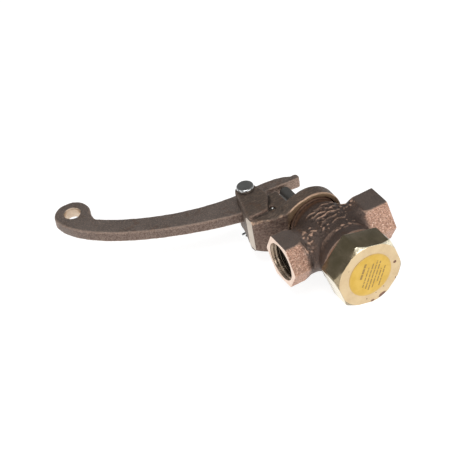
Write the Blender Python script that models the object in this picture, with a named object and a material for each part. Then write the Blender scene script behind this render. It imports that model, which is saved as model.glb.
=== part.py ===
"""Lever-operated float valve: an in-line bronze body, a brass cap, a yoke and a curved lever.

Frame: the origin is where the pipe axis (X) crosses the stem axis (Y).  The inlet port is at -X and
the outlet at +X, the cap is at -Y and the lever at +Y, and the lever turns about a pin along Z.
Sizes below are in millimetres; MM turns them into metres when a mesh is made.
"""
import math

import bmesh
import bpy

MM = 0.001
GAP = 0.3                 # clearance left between neighbouring pieces
SMOOTH_ANGLE = math.radians(32)

# ports: half inch female pipe thread in a one inch hexagon
PORT_END = 30.8
PORT_FLATS = 25.4
INLET_HEX_START = 20.6
OUTLET_HEX_START = 17.0
PORT_NECK_RADIUS = 12.7
PORT_BORE_RADIUS = 10.4
PORT_MOUTH_RADIUS = 10.7
PORT_BORE_DEPTH = 15.0
PASSAGE_RADIUS = 5.2

# body, along the stem axis
BODY_CAP_END = -21.2
BODY_CAP_RADIUS = 17.4
BODY_WAIST_RADIUS = 15.4
BODY_YOKE_END = 20.2
BODY_YOKE_RADIUS = 14.2
CAP_BORE_RADIUS = 14.3
CAP_BORE_END = -11.5
DISC_CHAMBER_RADIUS = 10.6
SEAT_WEB_LOW = -4.2
SEAT_WEB_HIGH = 1.0
STEM_CHAMBER_RADIUS = 7.4
STEM_CHAMBER_END = 9.0
PACKING_BORE_RADIUS = 6.4
PACKING_BORE_START = 12.5

# cap: a hexagon of about one and three eighths inches
CAP_FACE = -36.8
CAP_HEX_BACK = -22.5
CAP_FLATS = 35.5
CAP_FACE_RADIUS = 18.2
CAP_TURN = math.radians(45.0)
CAP_SHANK_RADIUS = 14.0
CAP_SHANK_END = -11.9
CAP_CAVITY_RADIUS = 10.2
CAP_CAVITY_FLOOR = -32.6
LABEL_RADIUS = 12.5
LABEL_THICKNESS = 0.35

# stem and disc
STEM_RADIUS = 3.2
STEM_TIP = 50.1
STEM_SHOULDER = -3.6
SPINDLE_RADIUS = 2.4
SPINDLE_END = -15.6
SEAT_RADIUS = 8.0
SEAT_BORE_RADIUS = 5.8
SEAT_LIP = -5.2
DISC_RADIUS = 8.2
DISC_FACE = -5.5
DISC_BACK = -8.3
HOLDER_RADIUS = 9.5
HOLDER_RIM = -6.2
HOLDER_BACK = -10.9
DISC_NUT_FLATS = 9.5
DISC_NUT_END = -14.8

# yoke
YOKE_FRONT = 16.7
YOKE_BACK = 24.8
YOKE_RING_RADIUS = 17.0
YOKE_BORE_RADIUS = 14.6
YOKE_BORE_END = 21.4
YOKE_ARM_END = -32.4
YOKE_ARM_HEIGHT = 9.5
YOKE_ARM_DEPTH = 10.3
YOKE_ARM_FRONT = 25.4
YOKE_SWEEP_START = -13.5
YOKE_WEB_BACK = 41.3
YOKE_WEB_EDGE = -8.0
YOKE_BLEND_END = -4.5     # where the arm's sides have become the ring
EAR_HEIGHT = 12.0
EAR_FRONT = 27.8
EAR_RADIUS = 5.8
STEM_HOLE_RADIUS = 3.6
STEM_BOSS_RADIUS = 6.5
STEM_BOSS_END = 31.0
SET_SCREW = (-17.0, 29.9)
SET_SCREW_RADIUS = 1.3
SET_SCREW_FLOOR = 3.0

# lever and its pin
PIN = (-21.8, 49.6)
PIN_RADIUS = 3.1
PIN_HOLE_RADIUS = 3.4
PIN_HEAD_RADIUS = 4.75
PIN_HEAD_HEIGHT = 2.4
PIN_END = -18.4
COTTER_HEIGHT = -15.9
COTTER_WIRE = 0.55
COTTER_LEG = 7.4
COTTER_ANGLE = math.radians(195.0)
LEVER_HALF = 3.2
LEVER_SLOT_HALF = 3.55
LEVER_HUB_RADIUS = 7.0
EYE = (-102.8, 102.7)
EYE_RADIUS = 10.0
EYE_HOLE_RADIUS = 4.4

# return spring
SPRING_RADIUS = 7.3
SPRING_WIRE = 0.85
SPRING_TURNS = 5.5
SPRING_STEPS = 16


# ---------------------------------------------------------------- helpers

def clear_scene():
    for obj in list(bpy.data.objects):
        bpy.data.objects.remove(obj, do_unlink=True)


def make_material(name, colour, roughness, metallic):
    mat = bpy.data.materials.new(name)
    mat.use_nodes = True
    shader = mat.node_tree.nodes["Principled BSDF"]
    shader.inputs["Base Color"].default_value = (*colour, 1.0)
    shader.inputs["Roughness"].default_value = roughness
    shader.inputs["Metallic"].default_value = metallic
    mat.diffuse_color = (*colour, 1.0)
    return mat


def arc(centre, radius, start, end, steps):
    """Points on a circular arc; the angles are in degrees."""
    points = []
    for i in range(steps + 1):
        angle = math.radians(start + (end - start) * i / steps)
        points.append((centre[0] + radius * math.cos(angle), centre[1] + radius * math.sin(angle)))
    return points


def bezier(p0, p1, p2, p3, steps):
    points = []
    for i in range(steps + 1):
        t = i / steps
        a, b, c, d = (1 - t) ** 3, 3 * t * (1 - t) ** 2, 3 * t * t * (1 - t), t ** 3
        points.append(tuple(a * p0[k] + b * p1[k] + c * p2[k] + d * p3[k] for k in (0, 1)))
    return points


def hexagon(flats, turn=0.0):
    radius = flats / math.sqrt(3.0)
    angles = [turn + math.radians(60 * i) for i in range(6)]
    return [(radius * math.cos(a), radius * math.sin(a)) for a in angles]


def place(first, second, along, axis):
    """A point with the given coordinate along the axis and two across it."""
    return {"X": (along, first, second), "Y": (first, along, second), "Z": (first, second, along)}[axis]


def new_object(name, bm, origin=(0.0, 0.0, 0.0), material=None):
    """Turn a bmesh built in millimetres into an object in metres with the given origin."""
    bmesh.ops.recalc_face_normals(bm, faces=bm.faces)
    for vert in bm.verts:
        vert.co = [(c - o) * MM for c, o in zip(vert.co, origin)]
    mesh = bpy.data.meshes.new(name)
    bm.to_mesh(mesh)
    bm.free()
    mesh.shade_smooth()
    mesh.set_sharp_from_angle(angle=SMOOTH_ANGLE)
    obj = bpy.data.objects.new(name, mesh)
    obj.location = [o * MM for o in origin]
    bpy.context.scene.collection.objects.link(obj)
    if material:
        obj.data.materials.append(material)
    return obj


def turned(name, outline, axis="Y", centre=(0.0, 0.0), steps=48, **options):
    """Revolve a closed outline of (radius, along) points about a line along the axis."""
    bm = bmesh.new()
    rings = []
    for radius, along in outline:
        if radius < 1e-6:
            rings.append([bm.verts.new(place(*centre, along, axis))] * steps)
            continue
        ring = []
        for i in range(steps):
            a = 2 * math.pi * i / steps
            first = centre[0] + radius * math.cos(a)
            second = centre[1] + radius * math.sin(a)
            ring.append(bm.verts.new(place(first, second, along, axis)))
        rings.append(ring)
    for ring, following in zip(rings, rings[1:] + rings[:1]):
        for i in range(steps):
            j = (i + 1) % steps
            corners = [ring[i], ring[j], following[j], following[i]]
            unique = list(dict.fromkeys(corners))
            if len(unique) > 2:
                bm.faces.new(unique)
    return new_object(name, bm, **options)


def rod(name, radius, low, high, **options):
    return turned(name, [(0, low), (radius, low), (radius, high), (0, high)], **options)


def ring_of(name, outer, inner, low, high, **options):
    return turned(name, [(inner, low), (outer, low), (outer, high), (inner, high)], **options)


def extruded(name, outline, low, high, axis="Z", **options):
    """Extrude a closed outline of two coordinates along the axis."""
    bm = bmesh.new()
    bottom = [bm.verts.new(place(*point, low, axis)) for point in outline]
    top = [bm.verts.new(place(*point, high, axis)) for point in outline]
    bm.faces.new(bottom)
    bm.faces.new(top)
    for i in range(len(outline)):
        j = (i + 1) % len(outline)
        bm.faces.new((bottom[i], bottom[j], top[j], top[i]))
    return new_object(name, bm, **options)


def tube(name, path, radius, sides=10, **options):
    """A round wire along a list of 3-D points, closed at both ends."""
    bm = bmesh.new()
    rings = []
    side = None
    for i, point in enumerate(path):
        before = path[max(i - 1, 0)]
        after = path[min(i + 1, len(path) - 1)]
        run = normalised([a - b for a, b in zip(after, before)])
        side = across(run, side)
        up = cross(run, side)
        ring = []
        for k in range(sides):
            a = 2 * math.pi * k / sides
            offset = [radius * (math.cos(a) * s + math.sin(a) * u) for s, u in zip(side, up)]
            ring.append(bm.verts.new([p + o for p, o in zip(point, offset)]))
        rings.append(ring)
    for ring, following in zip(rings, rings[1:]):
        for k in range(sides):
            j = (k + 1) % sides
            bm.faces.new((ring[k], ring[j], following[j], following[k]))
    bm.faces.new(rings[0])
    bm.faces.new(rings[-1])
    return new_object(name, bm, **options)


def cross(a, b):
    return [a[1] * b[2] - a[2] * b[1], a[2] * b[0] - a[0] * b[2], a[0] * b[1] - a[1] * b[0]]


def normalised(v):
    length = math.sqrt(sum(c * c for c in v))
    return [c / length for c in v]


def across(run, previous):
    """The part of the previous side direction that is square to the run of the wire."""
    guess = previous or ([0.0, 0.0, 1.0] if abs(run[2]) < 0.9 else [1.0, 0.0, 0.0])
    dot = sum(a * b for a, b in zip(guess, run))
    return normalised([g - dot * r for g, r in zip(guess, run)])


def combine(target, tool, operation):
    tool.hide_render = True
    tool.display_type = "WIRE"
    modifier = target.modifiers.new(tool.name, "BOOLEAN")
    modifier.operation = operation
    modifier.solver = "EXACT"
    modifier.object = tool


def settle(target):
    """Turn the evaluated shape into the object's own mesh and take the used tools away."""
    bpy.context.view_layer.update()
    evaluated = target.evaluated_get(bpy.context.evaluated_depsgraph_get())
    mesh = bpy.data.meshes.new_from_object(evaluated)
    tools = [modifier.object for modifier in target.modifiers]
    target.modifiers.clear()
    target.data = mesh
    mesh.name = target.name
    mesh.shade_smooth()
    mesh.set_sharp_from_angle(angle=SMOOTH_ANGLE)
    for tool in tools:
        bpy.data.objects.remove(tool, do_unlink=True)
    return target


def join(target, *tools):
    for tool in tools:
        combine(target, tool, "UNION")


def cut(target, *tools):
    for tool in tools:
        combine(target, tool, "DIFFERENCE")


# ---------------------------------------------------------------- body group

def port_bore(name, side):
    """The threaded bore of one port with its countersunk mouth."""
    face = side * PORT_END
    floor = side * (PORT_END - PORT_BORE_DEPTH)
    chamfer = side * (PORT_END - 1.2)
    outline = [(0, floor), (PORT_BORE_RADIUS - 0.6, floor), (PORT_BORE_RADIUS, chamfer),
               (PORT_MOUTH_RADIUS, face), (PORT_MOUTH_RADIUS, face + side), (0, face + side)]
    return turned(name, outline, axis="X")


def passage(name, side, chamber_at):
    """The slanted way from a port's bore to its own side of the seat."""
    outline = arc((0.0, 0.0), PASSAGE_RADIUS, 0, 345, 23)
    start = PORT_END - PORT_BORE_DEPTH + 1.0
    end = 5.0
    bm = bmesh.new()
    near = [bm.verts.new((side * start, y, z)) for y, z in outline]
    far = [bm.verts.new((side * end, y + chamber_at, z)) for y, z in outline]
    bm.faces.new(near)
    bm.faces.new(far)
    for i in range(len(outline)):
        j = (i + 1) % len(outline)
        bm.faces.new((near[i], near[j], far[j], far[i]))
    return new_object(name, bm)


def valve_body(material):
    waist = [(BODY_CAP_RADIUS, BODY_CAP_END), (BODY_CAP_RADIUS, -17.5), (BODY_WAIST_RADIUS, -12.0),
             (BODY_WAIST_RADIUS, 9.0), (BODY_YOKE_RADIUS, 12.5), (BODY_YOKE_RADIUS, BODY_YOKE_END)]
    body = turned("valve_body", [(0, BODY_CAP_END)] + waist + [(0, BODY_YOKE_END)], material=material)
    for name, side, hex_start in (("inlet", -1, INLET_HEX_START), ("outlet", 1, OUTLET_HEX_START)):
        inner, outer = sorted((side * hex_start, side * PORT_END))
        join(body, extruded(name + "_hexagon", hexagon(PORT_FLATS), inner, outer, axis="X"))
        inner, outer = sorted((side * 4.0, side * (hex_start + 1.0)))
        join(body, rod(name + "_neck", PORT_NECK_RADIUS, inner, outer, axis="X"))
    cut(body, rod("cap_bore", CAP_BORE_RADIUS, BODY_CAP_END - 1, CAP_BORE_END),
        rod("disc_chamber", DISC_CHAMBER_RADIUS, CAP_BORE_END - 1, SEAT_WEB_LOW),
        rod("seat_hole", SEAT_RADIUS + GAP, SEAT_WEB_LOW - 1, SEAT_WEB_HIGH),
        rod("stem_chamber", STEM_CHAMBER_RADIUS, SEAT_WEB_HIGH - 1, STEM_CHAMBER_END),
        rod("stem_guide", STEM_HOLE_RADIUS, STEM_CHAMBER_END - 1, PACKING_BORE_START + 1, steps=32),
        rod("packing_bore", PACKING_BORE_RADIUS, PACKING_BORE_START, BODY_YOKE_END + 1, steps=32),
        port_bore("inlet_bore", -1), port_bore("outlet_bore", 1),
        passage("inlet_passage", -1, -8.5), passage("outlet_passage", 1, 6.2))
    return settle(body)


def seat_ring(material):
    top = SEAT_WEB_HIGH - GAP
    lip = SEAT_BORE_RADIUS + 1.1
    outline = [(SEAT_BORE_RADIUS, SEAT_LIP), (lip, SEAT_LIP), (lip + 0.6, SEAT_WEB_LOW),
               (SEAT_RADIUS, SEAT_WEB_LOW), (SEAT_RADIUS, top), (SEAT_BORE_RADIUS, top)]
    return turned("seat_ring", outline, steps=40, material=material)


def cap(material):
    """Hexagonal cap whose corners are turned down to a circle on the outer face."""
    cap_body = extruded("cap", hexagon(CAP_FLATS, CAP_TURN), CAP_FACE, CAP_HEX_BACK, axis="Y",
                        material=material)
    big = CAP_FLATS / math.sqrt(3.0) + 1.0
    cone = [(0, CAP_FACE), (CAP_FACE_RADIUS, CAP_FACE), (big, CAP_FACE + big - CAP_FACE_RADIUS),
            (big, CAP_HEX_BACK + 1), (0, CAP_HEX_BACK + 1)]
    combine(cap_body, turned("cap_corners", cone, steps=64), "INTERSECT")
    join(cap_body, rod("cap_shank", CAP_SHANK_RADIUS, CAP_HEX_BACK - 1, CAP_SHANK_END))
    cut(cap_body, rod("cap_cavity", CAP_CAVITY_RADIUS, CAP_CAVITY_FLOOR, CAP_SHANK_END + 1))
    return settle(cap_body)


def cap_gasket(material):
    return ring_of("cap_gasket", BODY_CAP_RADIUS - 0.2, CAP_SHANK_RADIUS + GAP,
                   CAP_HEX_BACK + GAP, BODY_CAP_END - GAP, material=material)


def cap_label(material):
    outer = CAP_FACE - GAP
    return rod("cap_label", LABEL_RADIUS, outer - LABEL_THICKNESS, outer, material=material)


# ---------------------------------------------------------------- yoke group

def yoke_flange_outline():
    """The ring seen along the stem axis, with the arm blending out of it toward -X."""
    blend_from = -23.0
    join_height = math.sqrt(YOKE_RING_RADIUS ** 2 - YOKE_BLEND_END ** 2)
    top = [(YOKE_ARM_END, YOKE_ARM_HEIGHT)]
    for i in range(11):
        t = i / 10
        height = YOKE_ARM_HEIGHT + (join_height - YOKE_ARM_HEIGHT) * t * t * (3 - 2 * t)
        top.append((blend_from + (YOKE_BLEND_END - blend_from) * t, height))
    joint = math.degrees(math.atan2(join_height, YOKE_BLEND_END))
    underside = [(YOKE_ARM_END + 1.2, -YOKE_ARM_DEPTH), (YOKE_ARM_END, 1.2 - YOKE_ARM_DEPTH)]
    return top + arc((0, 0), YOKE_RING_RADIUS, joint - 6, -joint, 28) + underside


def ear_outline():
    """The two ears seen along the pin, one above and one below the lever."""
    return ([(YOKE_ARM_END + 0.6, EAR_FRONT), (-20.6, EAR_FRONT), (-18.9, 31.2), (-15.6, 36.5),
             (-14.2, 40.0), (-14.6, 44.0)]
            + arc(PIN, EAR_RADIUS, 0, 190, 14) + [(YOKE_ARM_END + 0.3, 32.4)])


def underside(x):
    """Height of the arm's underside, which runs straight to the ring."""
    ring_height = -math.sqrt(YOKE_RING_RADIUS ** 2 - YOKE_BLEND_END ** 2)
    start = YOKE_ARM_END + 1.2
    return -YOKE_ARM_DEPTH + (ring_height + YOKE_ARM_DEPTH) * (x - start) / (YOKE_BLEND_END - start)


def yoke(material):
    yoke_body = extruded("yoke", yoke_flange_outline(), YOKE_FRONT, YOKE_BACK, axis="Y",
                         material=material)
    root = -20.0
    arm = [(YOKE_ARM_END, YOKE_ARM_HEIGHT), (root, YOKE_ARM_HEIGHT), (root, underside(root)),
           (YOKE_ARM_END + 1.2, -YOKE_ARM_DEPTH), (YOKE_ARM_END, 1.2 - YOKE_ARM_DEPTH)]
    web = [(YOKE_ARM_END, EAR_FRONT - 1.0), (YOKE_WEB_EDGE, YOKE_BACK - 1.0),
           (YOKE_WEB_EDGE, YOKE_WEB_BACK), (-29.6, YOKE_WEB_BACK), (YOKE_ARM_END, 32.4)]
    join(yoke_body, extruded("yoke_arm", arm, YOKE_FRONT, EAR_FRONT + 0.5, axis="Y"),
         extruded("yoke_web", web, -YOKE_ARM_HEIGHT, YOKE_ARM_HEIGHT),
         extruded("yoke_ears", ear_outline(), -EAR_HEIGHT, EAR_HEIGHT),
         rod("yoke_stem_boss", STEM_BOSS_RADIUS, YOKE_BACK - 1, STEM_BOSS_END, steps=32))
    slope = (YOKE_ARM_FRONT - YOKE_FRONT) / (YOKE_SWEEP_START - YOKE_ARM_END)
    beyond = -50.0
    sweep = [(YOKE_SWEEP_START, YOKE_FRONT), (YOKE_SWEEP_START, 10.0), (beyond, 10.0),
             (beyond, YOKE_FRONT + slope * (YOKE_SWEEP_START - beyond))]
    slot = [(-60.0, YOKE_WEB_BACK), (0.0, YOKE_WEB_BACK), (0.0, 70.0), (-60.0, 70.0)]
    cut(yoke_body, extruded("yoke_sweep", sweep, -20.0, 20.0),
        rod("yoke_bore", YOKE_BORE_RADIUS, YOKE_FRONT - 1, YOKE_BORE_END),
        rod("yoke_stem_hole", STEM_HOLE_RADIUS, YOKE_BORE_END - 1, STEM_BOSS_END + 1, steps=32),
        extruded("lever_slot", slot, -LEVER_SLOT_HALF, LEVER_SLOT_HALF),
        rod("yoke_pin_hole", PIN_HOLE_RADIUS, -20, 20, axis="Z", centre=PIN, steps=32),
        rod("set_screw_hole", SET_SCREW_RADIUS + GAP, SET_SCREW_FLOOR, 20.0, axis="Z",
            centre=SET_SCREW, steps=16))
    return settle(yoke_body)


def yoke_set_screw(material):
    top = YOKE_ARM_HEIGHT - 0.4
    low = SET_SCREW_FLOOR + GAP
    outline = [(0, low), (SET_SCREW_RADIUS, low), (SET_SCREW_RADIUS, top - 0.3),
               (SET_SCREW_RADIUS - 0.4, top), (0, top)]
    return turned("yoke_set_screw", outline, axis="Z", centre=SET_SCREW, steps=16, material=material)


def stem_packing(brass, graphite, gasket):
    """The packing in its bore, pressed in by the gland, and the gasket of the yoke joint."""
    outer = PACKING_BORE_RADIUS - GAP
    inner = STEM_RADIUS + GAP
    low = PACKING_BORE_START + GAP
    for name, thick, material in (("packing_washer", 1.0, brass), ("packing_ring_inner", 2.4, graphite),
                                  ("packing_ring_outer", 2.4, graphite), ("packing_gland", 0, brass)):
        high = low + thick if thick else YOKE_BORE_END - GAP
        ring_of(name, outer, inner, low, high, steps=32, material=material)
        low = high + GAP
    ring_of("yoke_gasket", BODY_YOKE_RADIUS - 0.1, PACKING_BORE_RADIUS + GAP,
            BODY_YOKE_END + GAP, YOKE_BORE_END - GAP, material=gasket)


# ---------------------------------------------------------------- stem group

def stem(material):
    dome = arc((0, STEM_TIP - STEM_RADIUS), STEM_RADIUS, 0, 90, 6)
    outline = [(0, SPINDLE_END), (SPINDLE_RADIUS - 0.5, SPINDLE_END), (SPINDLE_RADIUS, SPINDLE_END + 0.5),
               (SPINDLE_RADIUS, STEM_SHOULDER), (STEM_RADIUS, STEM_SHOULDER)] + dome
    return turned("stem", outline, steps=32, material=material)


def disc_assembly(brass, rubber):
    inner = SPINDLE_RADIUS + GAP
    ring_of("disc_washer", 4.9, inner, DISC_FACE + GAP, STEM_SHOULDER - GAP, steps=32, material=brass)
    ring_of("seat_disc", DISC_RADIUS, inner, DISC_BACK, DISC_FACE, material=rubber)
    floor = DISC_BACK - GAP
    rim = DISC_RADIUS + GAP
    outline = [(inner, HOLDER_BACK), (HOLDER_RADIUS - 0.8, HOLDER_BACK),
               (HOLDER_RADIUS, HOLDER_BACK + 0.8), (HOLDER_RADIUS, HOLDER_RIM), (rim, HOLDER_RIM),
               (rim, floor), (inner, floor)]
    turned("disc_holder", outline, material=brass)
    nut = extruded("disc_nut", hexagon(DISC_NUT_FLATS), DISC_NUT_END, HOLDER_BACK - GAP, axis="Y",
                   material=brass)
    cut(nut, rod("disc_nut_hole", inner, DISC_NUT_END - 1, HOLDER_BACK + 1, steps=24))
    settle(nut)


def return_spring(material):
    """A compression spring from the cap's floor to the disc holder, with closed end turns."""
    low = CAP_CAVITY_FLOOR + GAP + SPRING_WIRE
    high = HOLDER_BACK - GAP - SPRING_WIRE
    end_pitch = 2 * SPRING_WIRE + 0.4
    count = round(SPRING_TURNS * SPRING_STEPS)
    middle_pitch = (high - low - 2 * end_pitch) / (SPRING_TURNS - 2)
    path = []
    for i in range(count + 1):
        turn = i / SPRING_STEPS
        a = 2 * math.pi * turn
        along = low + end_pitch * min(turn, 1.0) + middle_pitch * min(max(turn - 1.0, 0.0), SPRING_TURNS - 2)
        along += end_pitch * max(turn - (SPRING_TURNS - 1), 0.0)
        path.append((SPRING_RADIUS * math.cos(a), along, SPRING_RADIUS * math.sin(a)))
    return tube("return_spring", path, SPRING_WIRE, sides=8, material=material)


# ---------------------------------------------------------------- lever group

def lever_outline():
    """The lever seen along the pin: tail, hub, bowed arm and eye, counter-clockwise from the tail."""
    tail_tip = [(10.4, 49.5), (11.4, 51.2), (11.2, 53.6), (9.6, 54.4), (7.6, 54.2), (4.6, 56.2)]
    tail_back = [(0.0, 57.9), (-6.0, 58.7), (-14.0, 59.0)]
    back = bezier((-23.6, 59.0), (-48.5, 60.5), (-76.6, 73.3), (-94.4, 90.3), 16)
    notch = [(-94.7, 91.9), (-94.6, 94.0)]
    eye = arc(EYE, EYE_RADIUS, -36, 176, 24)
    front = bezier((-112.3, 100.0), (-108.0, 78.5), (-69.0, 54.0), (-29.0, 43.2), 18)
    hub = arc(PIN, LEVER_HUB_RADIUS, -108, -38, 7)
    return tail_tip + tail_back + back + notch + eye + front + hub + [(-12.0, 48.8), (-7.7, 51.2)]


def lever(material):
    arm = extruded("lever", lever_outline(), -LEVER_HALF, LEVER_HALF, origin=(*PIN, 0.0),
                   material=material)
    cut(arm, rod("lever_eye_hole", EYE_HOLE_RADIUS, -10, 10, axis="Z", centre=EYE, steps=32),
        rod("lever_pin_hole", PIN_HOLE_RADIUS, -10, 10, axis="Z", centre=PIN, steps=32))
    return settle(arm)


def fulcrum_pin(material):
    under_head = EAR_HEIGHT + GAP
    top = under_head + PIN_HEAD_HEIGHT
    outline = [(0, PIN_END), (PIN_RADIUS - 0.7, PIN_END), (PIN_RADIUS, PIN_END + 0.7),
               (PIN_RADIUS, under_head), (PIN_HEAD_RADIUS, under_head), (PIN_HEAD_RADIUS, top - 0.3),
               (PIN_HEAD_RADIUS - 0.3, top), (0, top)]
    pin = turned("fulcrum_pin", outline, axis="Z", centre=PIN, steps=32, origin=(*PIN, 0.0),
                 material=material)
    hole = rod("cotter_hole", 1.55, -PIN_RADIUS - 2, PIN_RADIUS + 2, axis="X",
               centre=(0.0, 0.0), steps=16)
    hole.rotation_euler = (0.0, 0.0, COTTER_ANGLE)
    hole.location = (PIN[0] * MM, PIN[1] * MM, COTTER_HEIGHT * MM)
    cut(pin, hole)
    return settle(pin)


def fulcrum_washer(material):
    high = -EAR_HEIGHT - GAP
    return ring_of("fulcrum_washer", 5.4, PIN_RADIUS + GAP, high - 1.0, high, axis="Z", centre=PIN,
                   steps=32, origin=(*PIN, 0.0), material=material)


def cotter_pin(material):
    """A split pin: two legs through the fulcrum pin, opened a little, and a round loop behind."""
    half = COTTER_WIRE + 0.08
    long_leg = [(COTTER_LEG, 1.1), (5.8, 0.8), (4.4, half), (0.0, half), (-4.0, half)]
    short_leg = [(-4.0, -half), (0.0, -half), (3.6, -half), (4.6, -1.2), (4.9, -1.9)]
    flat = long_leg + arc((-6.0, 0.0), 1.6, 60, 300, 12) + short_leg
    u = (math.cos(COTTER_ANGLE), math.sin(COTTER_ANGLE))
    path = [(PIN[0] + u[0] * x, PIN[1] + u[1] * x, COTTER_HEIGHT + z) for x, z in flat]
    return tube("cotter_pin", path, COTTER_WIRE, sides=8, origin=(*PIN, 0.0), material=material)


# ---------------------------------------------------------------- assembly

def build():
    clear_scene()
    bronze = make_material("cast_bronze", (0.16, 0.10, 0.07), 0.55, 0.8)
    brass = make_material("machined_brass", (0.62, 0.46, 0.24), 0.32, 1.0)
    steel = make_material("plated_steel", (0.33, 0.33, 0.33), 0.35, 1.0)
    rubber = make_material("black_rubber", (0.03, 0.03, 0.03), 0.8, 0.0)
    graphite = make_material("graphite_packing", (0.07, 0.07, 0.07), 0.7, 0.2)
    fibre = make_material("fibre_gasket", (0.30, 0.14, 0.08), 0.85, 0.0)
    yellow = make_material("label_paper", (0.85, 0.55, 0.05), 0.5, 0.0)
    valve_body(bronze)
    seat_ring(brass)
    cap(brass)
    cap_gasket(fibre)
    cap_label(yellow)
    yoke(bronze)
    yoke_set_screw(steel)
    stem_packing(brass, graphite, fibre)
    stem(steel)
    disc_assembly(brass, rubber)
    return_spring(steel)
    lever(bronze)
    fulcrum_pin(steel)
    fulcrum_washer(steel)
    cotter_pin(steel)


build()
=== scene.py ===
"""Looks of the lever-operated float valve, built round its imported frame."""
import math

import bmesh
import bpy
import numpy as np
import openvdb
from mathutils import Matrix, Vector

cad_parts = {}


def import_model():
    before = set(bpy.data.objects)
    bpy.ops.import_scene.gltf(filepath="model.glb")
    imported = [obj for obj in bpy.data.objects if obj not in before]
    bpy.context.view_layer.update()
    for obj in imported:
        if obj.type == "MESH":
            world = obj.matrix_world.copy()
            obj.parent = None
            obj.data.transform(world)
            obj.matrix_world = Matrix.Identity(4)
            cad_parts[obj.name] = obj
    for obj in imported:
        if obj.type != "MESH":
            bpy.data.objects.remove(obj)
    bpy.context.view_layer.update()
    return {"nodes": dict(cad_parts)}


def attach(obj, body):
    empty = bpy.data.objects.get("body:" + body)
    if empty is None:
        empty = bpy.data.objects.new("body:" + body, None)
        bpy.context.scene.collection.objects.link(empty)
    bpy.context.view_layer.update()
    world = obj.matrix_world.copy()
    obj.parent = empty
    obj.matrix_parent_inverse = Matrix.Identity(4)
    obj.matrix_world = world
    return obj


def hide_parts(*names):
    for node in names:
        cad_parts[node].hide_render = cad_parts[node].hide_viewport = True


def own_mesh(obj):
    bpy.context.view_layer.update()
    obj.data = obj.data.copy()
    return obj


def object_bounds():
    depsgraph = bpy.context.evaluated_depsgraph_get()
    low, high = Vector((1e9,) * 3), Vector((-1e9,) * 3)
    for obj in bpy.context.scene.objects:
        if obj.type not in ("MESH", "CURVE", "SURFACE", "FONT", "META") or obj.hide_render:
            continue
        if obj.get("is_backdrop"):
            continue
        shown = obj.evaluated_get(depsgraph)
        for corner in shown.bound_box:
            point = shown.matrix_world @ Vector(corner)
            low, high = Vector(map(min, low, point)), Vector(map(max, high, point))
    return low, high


MM = 0.001
VOXEL = 0.36              # grid step of the cast pieces, in millimetres

# sizes shared with the solids, in millimetres
PORT_END, PORT_FLATS, PORT_NECK = 30.8, 25.4, 12.7
INLET_HEX_START, OUTLET_HEX_START = 20.6, 17.0
MOUTH_RADIUS, THREAD_RADIUS, BORE_DEPTH = 10.7, 10.4, 15.0
THREAD_PITCH, THREAD_HEIGHT = 1.814, 1.15
CAP_FACE, CAP_BACK, CAP_FLATS, CAP_RIM = -36.8, -22.5, 35.5, 18.2
CAP_TURN = math.radians(45.0)
LABEL_RADIUS, LABEL_FRONT, LABEL_BACK = 12.5, -36.98, -36.7
PIN = (-21.8, 49.6)
EYE = (-102.8, 102.7)
SET_SCREW = (-17.0, 29.9)

# the yoke's ring and arm, in millimetres
RING_RADIUS, RING_FRONT, RING_BACK = 17.0, 16.7, 24.8
ARM_END, ARM_HEIGHT, SWEEP_START = -32.4, 9.5, -13.5


# ---------------------------------------------------------------- distance fields

class Field:
    """A regular grid in millimetres on which signed distances are worked out (negative inside)."""

    def __init__(self, low, high, step=VOXEL):
        self.low = np.array(low, dtype=np.float32)
        self.step = step
        axes = [np.arange(a, b + step, step, dtype=np.float32) for a, b in zip(low, high)]
        self.x, self.y, self.z = np.meshgrid(*axes, indexing="ij", sparse=True)
        self.shape = tuple(len(a) for a in axes)

    def full(self, values):
        return np.ascontiguousarray(np.broadcast_to(values, self.shape), dtype=np.float32)


def polygon(points, u, v):
    """Signed distance to a closed outline of (u, v) points."""
    nearest = None
    inside = np.zeros(np.broadcast_shapes(u.shape, v.shape), dtype=bool)
    for (au, av), (bu, bv) in zip(points, points[1:] + points[:1]):
        eu, ev = bu - au, bv - av
        du, dv = u - au, v - av
        t = np.clip((du * eu + dv * ev) / (eu * eu + ev * ev), 0, 1)
        square = (du - eu * t) ** 2 + (dv - ev * t) ** 2
        nearest = square if nearest is None else np.minimum(nearest, square)
        if av != bv:
            inside ^= ((v >= av) != (v >= bv)) & (du < eu * dv / ev)
    return np.sqrt(nearest) * np.where(inside, -1.0, 1.0)


def both(a, b, edge=0.0):
    """What lies inside both, with the outer edge between them rounded."""
    a, b = a + edge, b + edge
    return np.minimum(np.maximum(a, b), 0) + np.hypot(np.maximum(a, 0), np.maximum(b, 0)) - edge


def union(a, b, fillet=0.01):
    """What lies in either, with the inner edge between them filled."""
    h = np.clip(0.5 + 0.5 * (b - a) / fillet, 0, 1)
    return b + (a - b) * h - fillet * h * (1 - h)


def without(a, b, fillet=0.01):
    """What lies in a but not in b."""
    return -union(-a, b, fillet)


def slab(value, low, high):
    return np.maximum(low - value, value - high)


def hexagon(flats):
    radius = flats / math.sqrt(3.0)
    return [(radius * math.cos(math.pi / 3 * i), radius * math.sin(math.pi / 3 * i)) for i in range(6)]


def arc(centre, radius, start, end, steps):
    angles = [math.radians(start + (end - start) * i / steps) for i in range(steps + 1)]
    return [(centre[0] + radius * math.cos(a), centre[1] + radius * math.sin(a)) for a in angles]


def bezier(p0, p1, p2, p3, steps):
    points = []
    for i in range(steps + 1):
        t = i / steps
        weights = ((1 - t) ** 3, 3 * t * (1 - t) ** 2, 3 * t * t * (1 - t), t ** 3)
        points.append(tuple(sum(w * p[k] for w, p in zip(weights, (p0, p1, p2, p3))) for k in (0, 1)))
    return points


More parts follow.
